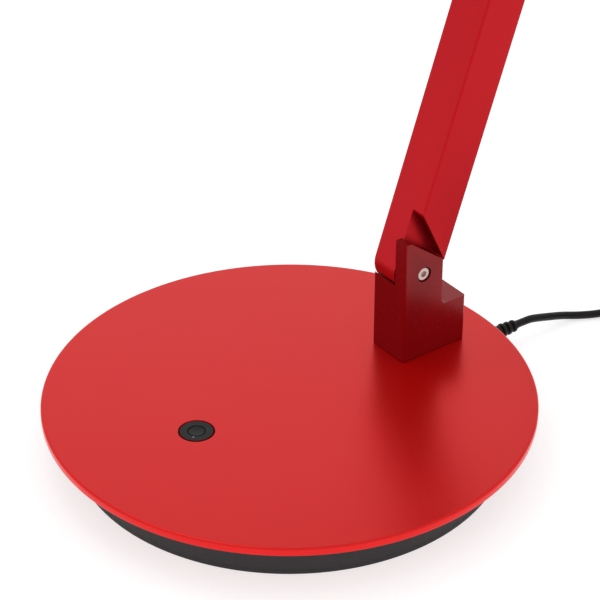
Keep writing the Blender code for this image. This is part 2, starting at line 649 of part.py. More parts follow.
# ---------------------------------------------------------------- head
def make_head(pivot):
    tongue_low = arc((0.0, 0.0), ARM_HALF_DEPTH, 180.0, 360.0, 20)
    tongue = piece("head_hinge_block", prism(
        tongue_low + [(ARM_HALF_DEPTH, 0.0040), (HEAD_HALF_DEPTH, HEAD_START - 0.0006),
                      (-HEAD_HALF_DEPTH, HEAD_START - 0.0006), (-ARM_HALF_DEPTH, 0.0040)],
        -ARM_HALF_WIDTH, TONGUE_FACE_X), "red_post", pivot)
    bevel(tongue, 0.0008, 2)
    combine(tongue, "UNION", "join_head_flange", block(
        (-HEAD_HALF_WIDTH, -HEAD_HALF_DEPTH, HEAD_START - 0.0026),
        (HEAD_HALF_WIDTH, HEAD_HALF_DEPTH, HEAD_START)))
    inner_x = HEAD_HALF_WIDTH - HEAD_WALL
    roof = HEAD_HALF_DEPTH - HEAD_WALL
    combine(tongue, "UNION", "join_head_plug", block(
        (-inner_x + GAP, -0.0040, HEAD_START - 0.0010), (inner_x - GAP, roof - GAP, HEAD_START + 0.0180)))
    combine(tongue, "DIFFERENCE", "cut_head_screw_hole", rod(SCREW_HOLE_RADIUS, -0.020, 0.020, "X"))
    combine(tongue, "DIFFERENCE", "cut_head_nut_pocket",
            rod(CAP_POCKET_RADIUS, -0.020, -ARM_HALF_WIDTH + 0.0054, "X", 32))
    combine(tongue, "DIFFERENCE", "cut_head_lead_hole",
            rod(0.0015, -0.020, HEAD_START + 0.020, "Z", 16), (-0.0010, 0.0036, 0.0))

    start = HEAD_START + GAP
    housing = piece("head_housing", block(
        (-HEAD_HALF_WIDTH, -HEAD_HALF_DEPTH, start),
        (HEAD_HALF_WIDTH, HEAD_HALF_DEPTH, HEAD_END)), "red_arm", pivot)
    bevel(housing, 0.0009, 2)
    combine(housing, "DIFFERENCE", "cut_head_cavity", block(
        (-inner_x, -0.020, start - 0.010), (inner_x, roof, HEAD_END + 0.010)))

    board_front = roof - GAP - 0.0012
    piece("led_board", block(
        (-0.0135, board_front, HEAD_START + 0.0200),
        (0.0135, roof - GAP, HEAD_END - 0.0060)), "board_aluminium", pivot)
    piece("diffuser", block(
        (-inner_x + GAP, -HEAD_HALF_DEPTH + 0.0004, start + GAP),
        (inner_x - GAP, -HEAD_HALF_DEPTH + 0.0022, HEAD_END - GAP)), "opal", pivot)
    cap = piece("head_end_cap", block(
        (-HEAD_HALF_WIDTH, -HEAD_HALF_DEPTH, HEAD_END + GAP),
        (HEAD_HALF_WIDTH, HEAD_HALF_DEPTH, HEAD_END + 0.0022)), "red_arm", pivot)
    bevel(cap, 0.0007, 2)
    combine(cap, "UNION", "join_cap_plug", block(
        (-inner_x + GAP, -0.0036, HEAD_END - 0.0040), (inner_x - GAP, roof - GAP, HEAD_END + 0.0010)))


# ---------------------------------------------------------------- cord
def make_strain_relief():
    """A tapered boot with a neck through the housing's wall and three ribs at its tip."""
    inner_wall = HOUSING_RADIUS - HOUSING_WALL
    profile = [
        (0.0, inner_wall - 0.0026), (0.0050, inner_wall - 0.0026), (0.0050, inner_wall - 0.0006),
        (0.0032, inner_wall - 0.0006), (0.0032, HOUSING_RADIUS + GAP), (0.0046, HOUSING_RADIUS + GAP),
        (0.0046, HOUSING_RADIUS + 0.0030), (0.0038, HOUSING_RADIUS + 0.0042), (0.0031, BOOT_TIP_Y - 0.0108),
    ]
    rib_length = 0.0018
    rib_pitch = 0.0033
    for rib in range(3):
        start = BOOT_TIP_Y - 0.0100 + rib * rib_pitch
        radius = 0.0035 - 0.00025 * rib
        core = 0.0025 - 0.0002 * rib
        profile += [
            (core, start - 0.0001), (radius - 0.0002, start), (radius, start + 0.0003),
            (radius, start + rib_length - 0.0003), (radius - 0.0002, start + rib_length),
            (core, start + rib_length + 0.0001),
        ]
    profile += [(0.0021, BOOT_TIP_Y), (0.0, BOOT_TIP_Y)]
    piece("strain_relief", turned(profile, "Y", 20), "cord_black", location=(0.0, 0.0, CORD_EXIT_Z))


def make_cord():
    cord_tube("power_cord", CORD_ROUTE)
    cord_tube("cord_tail", TAIL_ROUTE)
    corner = 0.0028
    outline = [
        (COIL_INNER + corner, COIL_BOTTOM), (COIL_OUTER - corner, COIL_BOTTOM),
        (COIL_OUTER, COIL_BOTTOM + corner), (COIL_OUTER, COIL_TOP - corner),
        (COIL_OUTER - corner, COIL_TOP), (COIL_INNER + corner, COIL_TOP),
        (COIL_INNER, COIL_TOP - corner), (COIL_INNER, COIL_BOTTOM + corner),
    ]
    piece("cord_coil", turned(outline, segments=32, is_ring=True), "cord_black", location=(*COIL_CENTRE, 0.0))
    half_width = 0.0030
    near = math.sqrt(COIL_INNER ** 2 - half_width ** 2) - GAP
    far = COIL_OUTER + GAP
    low = COIL_BOTTOM - GAP
    high = COIL_TOP + GAP
    tie = piece("cord_tie", block(
        (-half_width, -far - TIE_THICKNESS, low - TIE_THICKNESS),
        (half_width, -near + TIE_THICKNESS, high + TIE_THICKNESS)), "tie_black", location=(*COIL_CENTRE, 0.0))
    combine(tie, "DIFFERENCE", "cut_tie_hole", block((-0.010, -far, low), (0.010, -near, high)),
            (*COIL_CENTRE, 0.0))


def make_adaptor():
    x, y = ADAPTOR_CENTRE
    half_x, half_y = ADAPTOR_SIZE[0] / 2, ADAPTOR_SIZE[1] / 2
    body = piece("adaptor_body", block((-half_x, -half_y, 0.0003), (half_x, half_y, ADAPTOR_SIZE[2])),
                 "black_plastic", location=(x, y, 0.0))
    bevel(body, 0.0022, 3)
    boot_start = y + half_y + GAP
    boot_length = TAIL_ROUTE[-1][1] - GAP - boot_start
    piece("adaptor_boot", turned([
        (0.0, 0.0), (0.0034, 0.0), (0.0030, 0.0050), (0.0022, boot_length), (0.0, boot_length),
    ], "Y", 16), "cord_black", location=(x, boot_start, ADAPTOR_LEAD_Z))
    for index, side in enumerate((-1, 1), 1):
        piece(f"adaptor_pin_{index}", turned([
            (0.0, 0.0), (PIN_RADIUS, 0.0), (PIN_RADIUS, 0.0010 - PIN_LENGTH),
            (PIN_RADIUS / 2, -PIN_LENGTH), (0.0, -PIN_LENGTH),
        ], "Y", 16), "screw_steel", location=(x + side * PIN_OFFSET, y - half_y - GAP, PIN_Z))


# ---------------------------------------------------------------- assembly
def main():
    clear_scene()
    make_base_plate()
    make_base_housing()
    make_base_weight()
    make_base_small_parts()
    make_button()
    make_post()

    base_pivot = empty("base_pivot", (0.0, PIVOT_Y, BASE_HEIGHT + PIVOT_HEIGHT))
    lower_pivot = empty("lower_arm_axis", (0.0, 0.0, 0.0), -LOWER_LEAN, base_pivot)
    elbow = empty("elbow_axis", (0.0, 0.0, ARM_PIVOT_SPAN), 0.0, lower_pivot)
    upper_turn = math.radians(90.0) - UPPER_RISE + LOWER_LEAN
    upper_pivot = empty("upper_arm_axis", (0.0, 0.0, 0.0), upper_turn, elbow)
    head_joint = empty("head_joint_axis", (0.0, 0.0, ARM_PIVOT_SPAN), 0.0, upper_pivot)
    head_pivot = empty("head_axis", (0.0, 0.0, 0.0), UPPER_RISE - HEAD_RISE, head_joint)

    make_arm("lower_arm_tube", lower_pivot)
    make_bracket("elbow_bracket", lower_pivot)
    make_arm_lead("lower_arm_lead", lower_pivot)
    make_arm("upper_arm_tube", upper_pivot)
    make_bracket("head_bracket", upper_pivot)
    make_arm_lead("upper_arm_lead", upper_pivot)
    make_hinge_hardware("base_hinge", base_pivot, lower_pivot, POST_HALF_WIDTH)
    make_hinge_hardware("elbow_hinge", elbow, upper_pivot, ARM_HALF_WIDTH)
    make_hinge_hardware("head_hinge", head_joint, head_pivot, ARM_HALF_WIDTH)
    make_head(head_pivot)

    make_strain_relief()
    make_cord()
    make_adaptor()


main()
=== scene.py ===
"""Architect desk lamp: finished surfaces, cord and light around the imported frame.  Metres, +Z up."""
import json
import math

import bmesh
import bpy
from mathutils import Matrix, Vector


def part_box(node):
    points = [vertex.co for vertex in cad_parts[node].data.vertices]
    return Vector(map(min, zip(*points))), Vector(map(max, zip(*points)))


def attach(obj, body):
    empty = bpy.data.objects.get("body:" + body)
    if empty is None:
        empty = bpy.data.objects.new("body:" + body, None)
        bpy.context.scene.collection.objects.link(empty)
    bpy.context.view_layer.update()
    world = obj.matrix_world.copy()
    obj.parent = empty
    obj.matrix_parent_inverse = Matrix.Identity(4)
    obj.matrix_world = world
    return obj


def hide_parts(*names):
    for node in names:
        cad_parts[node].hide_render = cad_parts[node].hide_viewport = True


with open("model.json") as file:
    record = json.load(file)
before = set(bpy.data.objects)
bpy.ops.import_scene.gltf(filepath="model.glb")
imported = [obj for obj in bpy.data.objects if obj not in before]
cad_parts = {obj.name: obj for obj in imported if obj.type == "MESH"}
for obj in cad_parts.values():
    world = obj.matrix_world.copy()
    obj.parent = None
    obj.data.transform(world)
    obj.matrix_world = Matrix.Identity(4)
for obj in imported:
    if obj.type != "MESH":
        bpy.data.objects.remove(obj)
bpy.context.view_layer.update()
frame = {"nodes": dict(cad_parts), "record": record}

scene = bpy.context.scene
nodes = frame["nodes"]

# ---------------------------------------------------------------- sizes shared with the CAD
PLATE_LOW, PLATE_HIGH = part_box("base_plate")
PLATE_RADIUS = PLATE_HIGH.x
PLATE_TOP = PLATE_HIGH.z
PLATE_BOTTOM = PLATE_LOW.z
CAP_LOW, CAP_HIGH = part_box("button_cap")
BUTTON_Y = (CAP_LOW.y + CAP_HIGH.y) / 2
BEZEL_RADIUS = 0.0077
BEZEL_BORE = 0.00395
CAP_RADIUS = 0.0037
BUTTON_HOLE_RADIUS = 0.0080
HOUSING_RADIUS = 0.0968
LENS_LOW, LENS_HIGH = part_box("indicator_lens")
BOOT_LOW, BOOT_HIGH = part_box("strain_relief")
BOOT_TIP_Y = BOOT_HIGH.y
CORD_EXIT = (0.0, 0.1335, 0.0091)
CORD_DIAMETER = 0.0038
EDGE_ROUND = 0.0003             # on the CAD nodes whose edges are seen close to
TURNED_SHARP = 28.0             # degrees between faces from which an edge of a turned piece is sharp
BOXY_SHARP = 35.0               # the same for the strap and the adaptor

# ---------------------------------------------------------------- the camera, fitted to the photograph
CAMERA_AZIMUTH, CAMERA_ELEVATION = 54.0887, 32.2655
CAMERA_DISTANCE = 1.06026
CAMERA_TARGET = (-0.09005, 0.07090, 0.0)
CAMERA_LENS = 128.674

# ---------------------------------------------------------------- the lead's way over the table
COIL_CENTRE = (0.0340, 0.2140)
COIL_COLUMNS = 3
COIL_ROWS = 4
COIL_RADIUS = 0.0215            # at the middle of the turns
COIL_FLOOR = 0.0033             # height of the lowest turns' centre
COIL_STEPS = 36                 # points in a turn
SHIFT_STEPS = 12                # points in which a turn moves over to the next cell
CELL_BULGE = 0.37               # sideways swing of a turn that climbs a row, in cord diameters
CURVE_SPACING = 0.002
# from the boot to the coil's -X side
ROUTE = (
    CORD_EXIT,
    (0.0000, 0.1375, 0.0091),
    (0.0001, 0.1425, 0.0089),
    (0.0003, 0.1490, 0.0074),
    (0.0005, 0.1543, 0.0060),
    (0.0007, 0.1592, 0.0047),
    (0.0011, 0.1638, 0.0034),
    (0.0022, 0.1680, 0.0024),
    (0.0040, 0.1720, 0.0020),
    (0.0062, 0.1762, 0.00195),
    (0.0082, 0.1812, 0.00195),
    (0.0092, 0.1870, 0.00195),
    (0.0092, 0.1935, 0.00195),
    (0.0077, 0.2005, 0.0021),
    (0.0056, 0.2065, 0.0026),
    (0.0047, 0.2110, 0.0031),
    (0.0045, 0.2140, 0.0033),
)
# from the coil's +Y side to the adaptor
TAIL = (
    (0.0340, 0.2435, 0.0033),
    (0.0405, 0.2435, 0.0032),
    (0.0480, 0.2435, 0.0027),
    (0.0565, 0.2435, 0.0023),
    (0.0650, 0.2435, 0.0023),
    (0.0711, 0.2423, 0.0032),
    (0.0763, 0.2388, 0.0048),
    (0.0798, 0.2336, 0.0065),
    (0.0810, 0.2275, 0.0074),
    (0.0810, 0.2247, 0.0075),
    (0.0810, 0.2220, 0.0075),
)


# ---------------------------------------------------------------- camera
def make_camera():
    azimuth, elevation = math.radians(CAMERA_AZIMUTH), math.radians(CAMERA_ELEVATION)
    back = Vector((
        math.sin(azimuth) * math.cos(elevation),
        -math.cos(azimuth) * math.cos(elevation),
        math.sin(elevation),
    ))
    data = bpy.data.cameras.new("camera")
    data.lens = CAMERA_LENS
    data.sensor_width = 36.0
    camera = bpy.data.objects.new("camera", data)
    scene.collection.objects.link(camera)
    camera.location = Vector(CAMERA_TARGET) + back * CAMERA_DISTANCE
    camera.rotation_mode = "QUATERNION"
    camera.rotation_quaternion = (-back).to_track_quat("-Z", "Y")
    scene.camera = camera


# ---------------------------------------------------------------- materials
def link(tree, source, target):
    tree.links.new(source, target)


def noise_texture(tree, place, scale, detail):
    """Noise in the object's own coordinates; scale is features per metre."""
    noise = tree.nodes.new("ShaderNodeTexNoise")
    noise.inputs["Scale"].default_value = scale
    noise.inputs["Detail"].default_value = detail
    link(tree, place, noise.inputs["Vector"])
    return noise.outputs["Fac"]


def spread(tree, value, low, high, from_low=0.3, from_high=0.7):
    """Maps the range from_low to from_high of a value to low to high, and holds the ends."""
    remap = tree.nodes.new("ShaderNodeMapRange")
    remap.inputs["From Min"].default_value = from_low
    remap.inputs["From Max"].default_value = from_high
    remap.inputs["To Min"].default_value = low
    remap.inputs["To Max"].default_value = high
    link(tree, value, remap.inputs["Value"])
    return remap.outputs["Result"]


def blend_colours(tree, factor, first, second):
    """Mix of two colours, each a tuple or a socket."""
    mix = tree.nodes.new("ShaderNodeMix")
    mix.data_type = "RGBA"
    link(tree, factor, mix.inputs["Factor"])
    for socket, colour in ((mix.inputs["A"], first), (mix.inputs["B"], second)):
        if isinstance(colour, tuple):
            socket.default_value = (*colour, 1.0)
        else:
            link(tree, colour, socket)
    return mix.outputs["Result"]


def surface(name, colour, metallic, roughness, grain, mottle, uneven=0.03, edge_highlight=None, specular=0.5):
    """A Principled material with a fine grain, a broad mottle in colour and roughness, and a painted
    highlight on convex edges.

    uneven is how far the roughness strays, and the edge colour is a painted highlight: convex edges are
    lightened to it.
    """
    material = bpy.data.materials.new(name)
    material.use_nodes = True
    tree = material.node_tree
    shader = tree.nodes["Principled BSDF"]
    shader.inputs["Metallic"].default_value = metallic
    shader.inputs["Specular IOR Level"].default_value = specular
    place = tree.nodes.new("ShaderNodeTexCoord").outputs["Object"]

    mottle_scale, share = mottle
    broad = noise_texture(tree, place, mottle_scale, 4.0)
    darker = tuple(channel * (1.0 - share) for channel in colour)
    lighter = tuple(min(1.0, channel * (1.0 + share)) for channel in colour)
    tint = blend_colours(tree, spread(tree, broad, 0.0, 1.0), darker, lighter)
    # painted highlight: convex edges, found by pointiness, take the lighter edge colour
    if edge_highlight is not None:
        pointiness = tree.nodes.new("ShaderNodeNewGeometry").outputs["Pointiness"]
        tint = blend_colours(tree, spread(tree, pointiness, 0.0, 1.0, 0.52, 0.62), tint, edge_highlight)
    link(tree, tint, shader.inputs["Base Color"])

    grain_scale, grain_depth = grain
    fine = noise_texture(tree, place, grain_scale, 3.0)
    patches = noise_texture(tree, place, mottle_scale * 5.0, 3.0)
    together = tree.nodes.new("ShaderNodeMath")
    together.operation = "ADD"
    link(tree, spread(tree, fine, -uneven, uneven), together.inputs[0])
    link(tree, spread(tree, patches, roughness - uneven, roughness + uneven), together.inputs[1])
    link(tree, together.outputs["Value"], shader.inputs["Roughness"])

    bump = tree.nodes.new("ShaderNodeBump")
    bump.inputs["Strength"].default_value = 1.0
    bump.inputs["Distance"].default_value = grain_depth
    link(tree, fine, bump.inputs["Height"])
    link(tree, bump.outputs["Normal"], shader.inputs["Normal"])
    return material


# grain is (features per metre, depth); mottle is (features per metre, share of the colour)
LOOKS = {
    "red_plate": dict(
        colour=(0.63, 0.001, 0.001), metallic=0.52, roughness=0.29, grain=(3500.0, 0.000010),
        mottle=(45.0, 0.008), uneven=0.008),
    # its edge colour is a painted highlight along the rim's rounded edges
    "red_rim": dict(
        colour=(0.76, 0.016, 0.016), metallic=0.80, roughness=0.26, grain=(2500.0, 0.000005),
        mottle=(60.0, 0.02), uneven=0.012, edge_highlight=(0.92, 0.045, 0.040)),
    # its edge colour is a painted highlight on the arm's ridges and edges
    "red_arm": dict(
        colour=(0.49, 0.001, 0.007), metallic=0.78, roughness=0.38, grain=(3500.0, 0.000010),
        mottle=(45.0, 0.012), uneven=0.010, edge_highlight=(0.52, 0.002, 0.008)),
    # its edge colour is a painted highlight on the post's edges
    "red_post": dict(
        colour=(0.20, 0.0, 0.003), metallic=0.35, roughness=0.26, grain=(5000.0, 0.000004),
        mottle=(60.0, 0.02), uneven=0.012, edge_highlight=(0.26, 0.001, 0.004), specular=0.34),
    "black_plastic": dict(
        colour=(0.016, 0.0135, 0.015), metallic=0.0, roughness=0.55, grain=(2500.0, 0.00002),
        mottle=(80.0, 0.10), specular=0.42),
    "button_black": dict(
        colour=(0.011, 0.010, 0.010), metallic=0.0, roughness=0.34, grain=(5000.0, 0.000005),
        mottle=(200.0, 0.08), specular=0.14),
    # painted reflection: dark red for the red plate reflected in the black bezel's sloping edge
    "button_edge_painted_reflection": dict(
        colour=(0.060, 0.0005, 0.001), metallic=0.3, roughness=0.40, grain=(5000.0, 0.000005),
        mottle=(200.0, 0.08), specular=0.05),
    "rubber": dict(
        colour=(0.015, 0.013, 0.014), metallic=0.0, roughness=0.62, grain=(1800.0, 0.00003),
        mottle=(90.0, 0.12), specular=0.40),
    "cord_black": dict(
        colour=(0.006, 0.0045, 0.0045), metallic=0.0, roughness=0.38, grain=(2600.0, 0.000008),
        mottle=(120.0, 0.15), specular=0.22),
    # its edge colour is a painted highlight on the screw's edges
    "screw_steel": dict(
        colour=(0.62, 0.47, 0.43), metallic=0.90, roughness=0.34, grain=(6000.0, 0.000003),
        mottle=(300.0, 0.06), edge_highlight=(0.72, 0.64, 0.60)),
    # its edge colour is a painted highlight on the pin's edges
    "pin_metal": dict(
        colour=(0.72, 0.70, 0.66), metallic=1.0, roughness=0.25, grain=(5000.0, 0.000003),
        mottle=(300.0, 0.06), edge_highlight=(0.85, 0.83, 0.80)),
    "brass": dict(
        colour=(0.60, 0.42, 0.16), metallic=1.0, roughness=0.30, grain=(5000.0, 0.000003),
        mottle=(300.0, 0.08)),
    "washer_nylon": dict(
        colour=(0.60, 0.58, 0.52), metallic=0.0, roughness=0.50, grain=(3000.0, 0.00001),
        mottle=(300.0, 0.05)),
    "cast_iron": dict(
        colour=(0.075, 0.075, 0.080), metallic=0.6, roughness=0.62, grain=(900.0, 0.00012),
        mottle=(70.0, 0.22), uneven=0.05),
    "board_green": dict(
        colour=(0.02, 0.12, 0.05), metallic=0.0, roughness=0.40, grain=(2500.0, 0.00001),
        mottle=(400.0, 0.12)),
    "board_aluminium": dict(
        colour=(0.78, 0.78, 0.75), metallic=0.1, roughness=0.40, grain=(2500.0, 0.000006),
        mottle=(150.0, 0.04)),
    "opal": dict(
        colour=(0.86, 0.86, 0.83), metallic=0.0, roughness=0.32, grain=(1500.0, 0.000006),
        mottle=(60.0, 0.02)),
    "indicator": dict(
        colour=(0.25, 0.19, 0.22), metallic=0.0, roughness=0.22, grain=(5000.0, 0.000002),
        mottle=(900.0, 0.05), uneven=0.01),
    "tie_black": dict(
        colour=(0.020, 0.020, 0.023), metallic=0.0, roughness=0.80, grain=(1600.0, 0.00012),
        mottle=(500.0, 0.25), uneven=0.05),
}
FINISHES = {name: surface(name, **look) for name, look in LOOKS.items()}
NODE_FINISH = {
    entry["node"]: entry["material_slot"] for entry in frame["record"]["subparts"]
}


def paint(obj, name):
    """Gives a CAD node its finish, in place of the plain material it came with."""
    obj.data.materials.clear()
    obj.data.materials.append(FINISHES[name])


# ---------------------------------------------------------------- mesh helpers
def placed(name, mesh, finish, location=(0.0, 0.0, 0.0)):
    """An object of that mesh.  The finish is appended, so that the faces keep their material index."""
    obj = bpy.data.objects.new(name, mesh)
    scene.collection.objects.link(obj)
    obj.location = location
    mesh.materials.append(FINISHES[finish])
    return obj


def stand_for(obj, body, slot, *replaced):
    """Makes a finished piece ride on a body in place of CAD nodes."""
    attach(obj, body)
    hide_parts(*replaced)
    return obj


def smooth_but_sharp(mesh, degrees):
    mesh.shade_smooth()
    mesh.set_sharp_from_angle(angle=math.radians(degrees))


def mesh_from(shape, name, sharp_degrees):
    """A bmesh as a mesh with outward normals, smooth except at its sharp edges."""
    bmesh.ops.recalc_face_normals(shape, faces=shape.faces)
    mesh = bpy.data.meshes.new(name)
    shape.to_mesh(mesh)
    shape.free()
    smooth_but_sharp(mesh, sharp_degrees)
    return mesh


def skin(shape, ring, following):
    """A band of faces between two closed rings of as many vertices."""
    for index in range(len(ring)):
        beside = (index + 1) % len(ring)
        shape.faces.new((ring[index], ring[beside], following[beside], following[index]))


def soften(obj, width):
    """Rounds a CAD node's edges by that much with modifiers; its own mesh stays as it is."""
    flat = obj.modifiers.new("flat_faces", "DECIMATE")
    flat.decimate_type = "DISSOLVE"
    flat.angle_limit = math.radians(1.0)
    edges = obj.modifiers.new("edge_round", "BEVEL")
    edges.width = width
    edges.segments = 3
    edges.limit_method = "ANGLE"
    edges.angle_limit = math.radians(35.0)
    edges.use_clamp_overlap = False
    edges.harden_normals = True


def catmull_rom(points, spacing):
    """Even points on the smooth curve through the given ones."""
    knots = [Vector(point) for point in points]
    knots = [2 * knots[0] - knots[1]] + knots + [2 * knots[-1] - knots[-2]]
    fine = []
    for before, start, end, after in zip(knots, knots[1:], knots[2:], knots[3:]):
        steps = max(2, round((end - start).length / spacing))
        for step in range(steps):
            t = step / steps
            fine.append(0.5 * (
                2 * start + (end - before) * t
                + (2 * before - 5 * start + 4 * end - after) * t ** 2
                + (3 * start - before - 3 * end + after) * t ** 3
            ))
    fine.append(knots[-2])
    return fine


# ---------------------------------------------------------------- cord
def smooth_step(t):
    t = min(1.0, max(0.0, t))
    return t * t * (3.0 - 2.0 * t)


def coil_cells():
    """(radius, height) of every turn, row by row from the outer column in and out again."""
    cells = []
    for row in range(COIL_ROWS):
        columns = list(range(COIL_COLUMNS))
        if row % 2 == 0:
            columns.reverse()
        for column in columns:
            radius = COIL_RADIUS + (column - (COIL_COLUMNS - 1) / 2) * CORD_DIAMETER
            cells.append((radius, COIL_FLOOR + row * CORD_DIAMETER))
    return cells


def coil_points():
    """Clockwise turns from the coil's -X side, each moving over to the next cell as it sets out."""
    points = []
    previous = (COIL_CENTRE[0] - ROUTE[-1][0], ROUTE[-1][2])
    for index, cell in enumerate(coil_cells()):
        for step in range(COIL_STEPS):
            share = smooth_step(step / SHIFT_STEPS)
            radius = previous[0] + (cell[0] - previous[0]) * share
            height = previous[1] + (cell[1] - previous[1]) * share
            climbs_a_row = index and abs(cell[1] - previous[1]) > 1e-6
            if climbs_a_row:
                outwards = 1.0 if previous[0] > COIL_RADIUS else -1.0
                radius += outwards * CELL_BULGE * CORD_DIAMETER * math.sin(math.pi * share)
            points.append(turn_point(radius, height, 180.0 - 360.0 * step / COIL_STEPS))
        previous = cell
    leave = (TAIL[0][1] - COIL_CENTRE[1], TAIL[0][2])
    quarter = COIL_STEPS // 4
    for step in range(quarter):
        share = smooth_step(step / quarter)
        radius = previous[0] + (leave[0] - previous[0]) * smooth_step(step / quarter * 1.4)
        height = previous[1] + (leave[1] - previous[1]) * share
        points.append(turn_point(radius, height, 180.0 - 360.0 * step / COIL_STEPS))
    return points


def turn_point(radius, height, degrees):
    """A point on the coil, that far round from the +X side."""
    angle = math.radians(degrees)
    return Vector((
        COIL_CENTRE[0] + radius * math.cos(angle), COIL_CENTRE[1] + radius * math.sin(angle), height))


def make_cord():
    """The whole lead as one round curve, and its length along the centreline."""
    points = (catmull_rom(ROUTE, CURVE_SPACING)[:-1] + coil_points()
              + catmull_rom(TAIL, CURVE_SPACING))
    curve = bpy.data.curves.new("lead", "CURVE")
    curve.dimensions = "3D"
    curve.bevel_depth = CORD_DIAMETER / 2
    curve.bevel_resolution = 4
    curve.use_fill_caps = True
    spline = curve.splines.new("POLY")
    spline.points.add(len(points) - 1)
    for place, point in zip(spline.points, points):
        place.co = (*point, 1.0)
    spline.use_smooth = True
    length = sum((b - a).length for a, b in zip(points, points[1:]))
    cord = bpy.data.objects.new("lead", curve)
    scene.collection.objects.link(cord)
    curve.materials.append(FINISHES["cord_black"])
    stand_for(cord, "base", "cord_black", "power_cord", "cord_coil", "cord_tail")
    return cord, length


# ---------------------------------------------------------------- finer shapes for what shows most
def turned(profile, segments, axis="Z", is_ring=False, band=None):
    """A mesh of revolution from (radius, height) points about an axis through 0.

    Faces made from the profile's points band[0] to band[1] get the second material.
    """
    turn = Matrix.Identity(3) if axis == "Z" else Matrix.Rotation(math.radians(-90.0), 3, "X")
    shape = bmesh.new()
    rings = []
    for radius, height in profile:
        ring = []
        for step in range(segments if radius > 0.0 else 1):
            angle = 2.0 * math.pi * step / segments
            ring.append(shape.verts.new(turn @ Vector((
                radius * math.cos(angle), radius * math.sin(angle), height))))
        rings.append(ring)
    pairs = list(zip(rings, rings[1:]))
    if is_ring:
        pairs.append((rings[-1], rings[0]))
    for index, (lower, upper) in enumerate(pairs):
        for step in range(segments):
            following = (step + 1) % segments
            corners = [lower[step % len(lower)], lower[following % len(lower)],
                       upper[following % len(upper)], upper[step % len(upper)]]
            distinct = [corner for place, corner in enumerate(corners) if corner not in corners[:place]]
            face = shape.faces.new(distinct)
            if band is not None and band[0] <= index < band[1]:
                face.material_index = 1
    return mesh_from(shape, "turned", TURNED_SHARP)


def arc(centre, radius, start_deg, end_deg, steps):
    """Points on a circle's arc in a flat outline's own two axes, both ends included."""
    points = []
    for step in range(steps + 1):
        angle = math.radians(start_deg + (end_deg - start_deg) * step / steps)
        points.append((centre[0] + radius * math.cos(angle), centre[1] + radius * math.sin(angle)))
    return points


def drill(obj, name, mesh, location):
    """Cuts a hidden tool's shape out of a piece for good."""
    tool = bpy.data.objects.new(name, mesh)
    scene.collection.objects.link(tool)
    tool.location = location
    cut = obj.modifiers.new(name, "BOOLEAN")
    cut.operation = "DIFFERENCE"
    cut.object = tool
    cut.solver = "EXACT"
    bpy.context.view_layer.update()
    evaluated = obj.evaluated_get(bpy.context.evaluated_depsgraph_get())
    finished = bpy.data.meshes.new_from_object(evaluated)
    obj.modifiers.remove(cut)
    obj.data = finished
    bpy.data.objects.remove(tool)
    smooth_but_sharp(finished, TURNED_SHARP)


def make_plate():
    """The base plate with a rounded, brighter rim and the button's hole."""
    top_round, bottom_round = 0.0010, 0.0003
    radius = PLATE_RADIUS
    flat_radius = radius - 0.004
    rim = (1, 12)               # the profile's points from the underside's flat to the top's edge
    hole_chamfer, overshoot = 0.00015, 0.00085
    profile = [(0.0, PLATE_BOTTOM), (flat_radius, PLATE_BOTTOM)]
    profile += arc((radius - bottom_round, PLATE_BOTTOM + bottom_round), bottom_round, 270.0, 360.0, 3)
    profile += arc((radius - top_round, PLATE_TOP - top_round), top_round, 0.0, 90.0, 6)
    profile += [(radius - 0.0016, PLATE_TOP), (flat_radius, PLATE_TOP), (0.0, PLATE_TOP)]
    plate = placed("plate", turned(profile, 256, band=rim), "red_plate")
    plate.data.materials.append(FINISHES["red_rim"])
    drill(plate, "hole_tool", turned([
        (0.0, PLATE_BOTTOM - 0.002), (BUTTON_HOLE_RADIUS, PLATE_BOTTOM - 0.002),
        (BUTTON_HOLE_RADIUS, PLATE_TOP - hole_chamfer),
        (BUTTON_HOLE_RADIUS + 0.0010, PLATE_TOP + overshoot),
        (0.0, PLATE_TOP + overshoot)], 96), (0.0, BUTTON_Y, 0.0))
    stand_for(plate, "base", "red_plate", "base_plate")


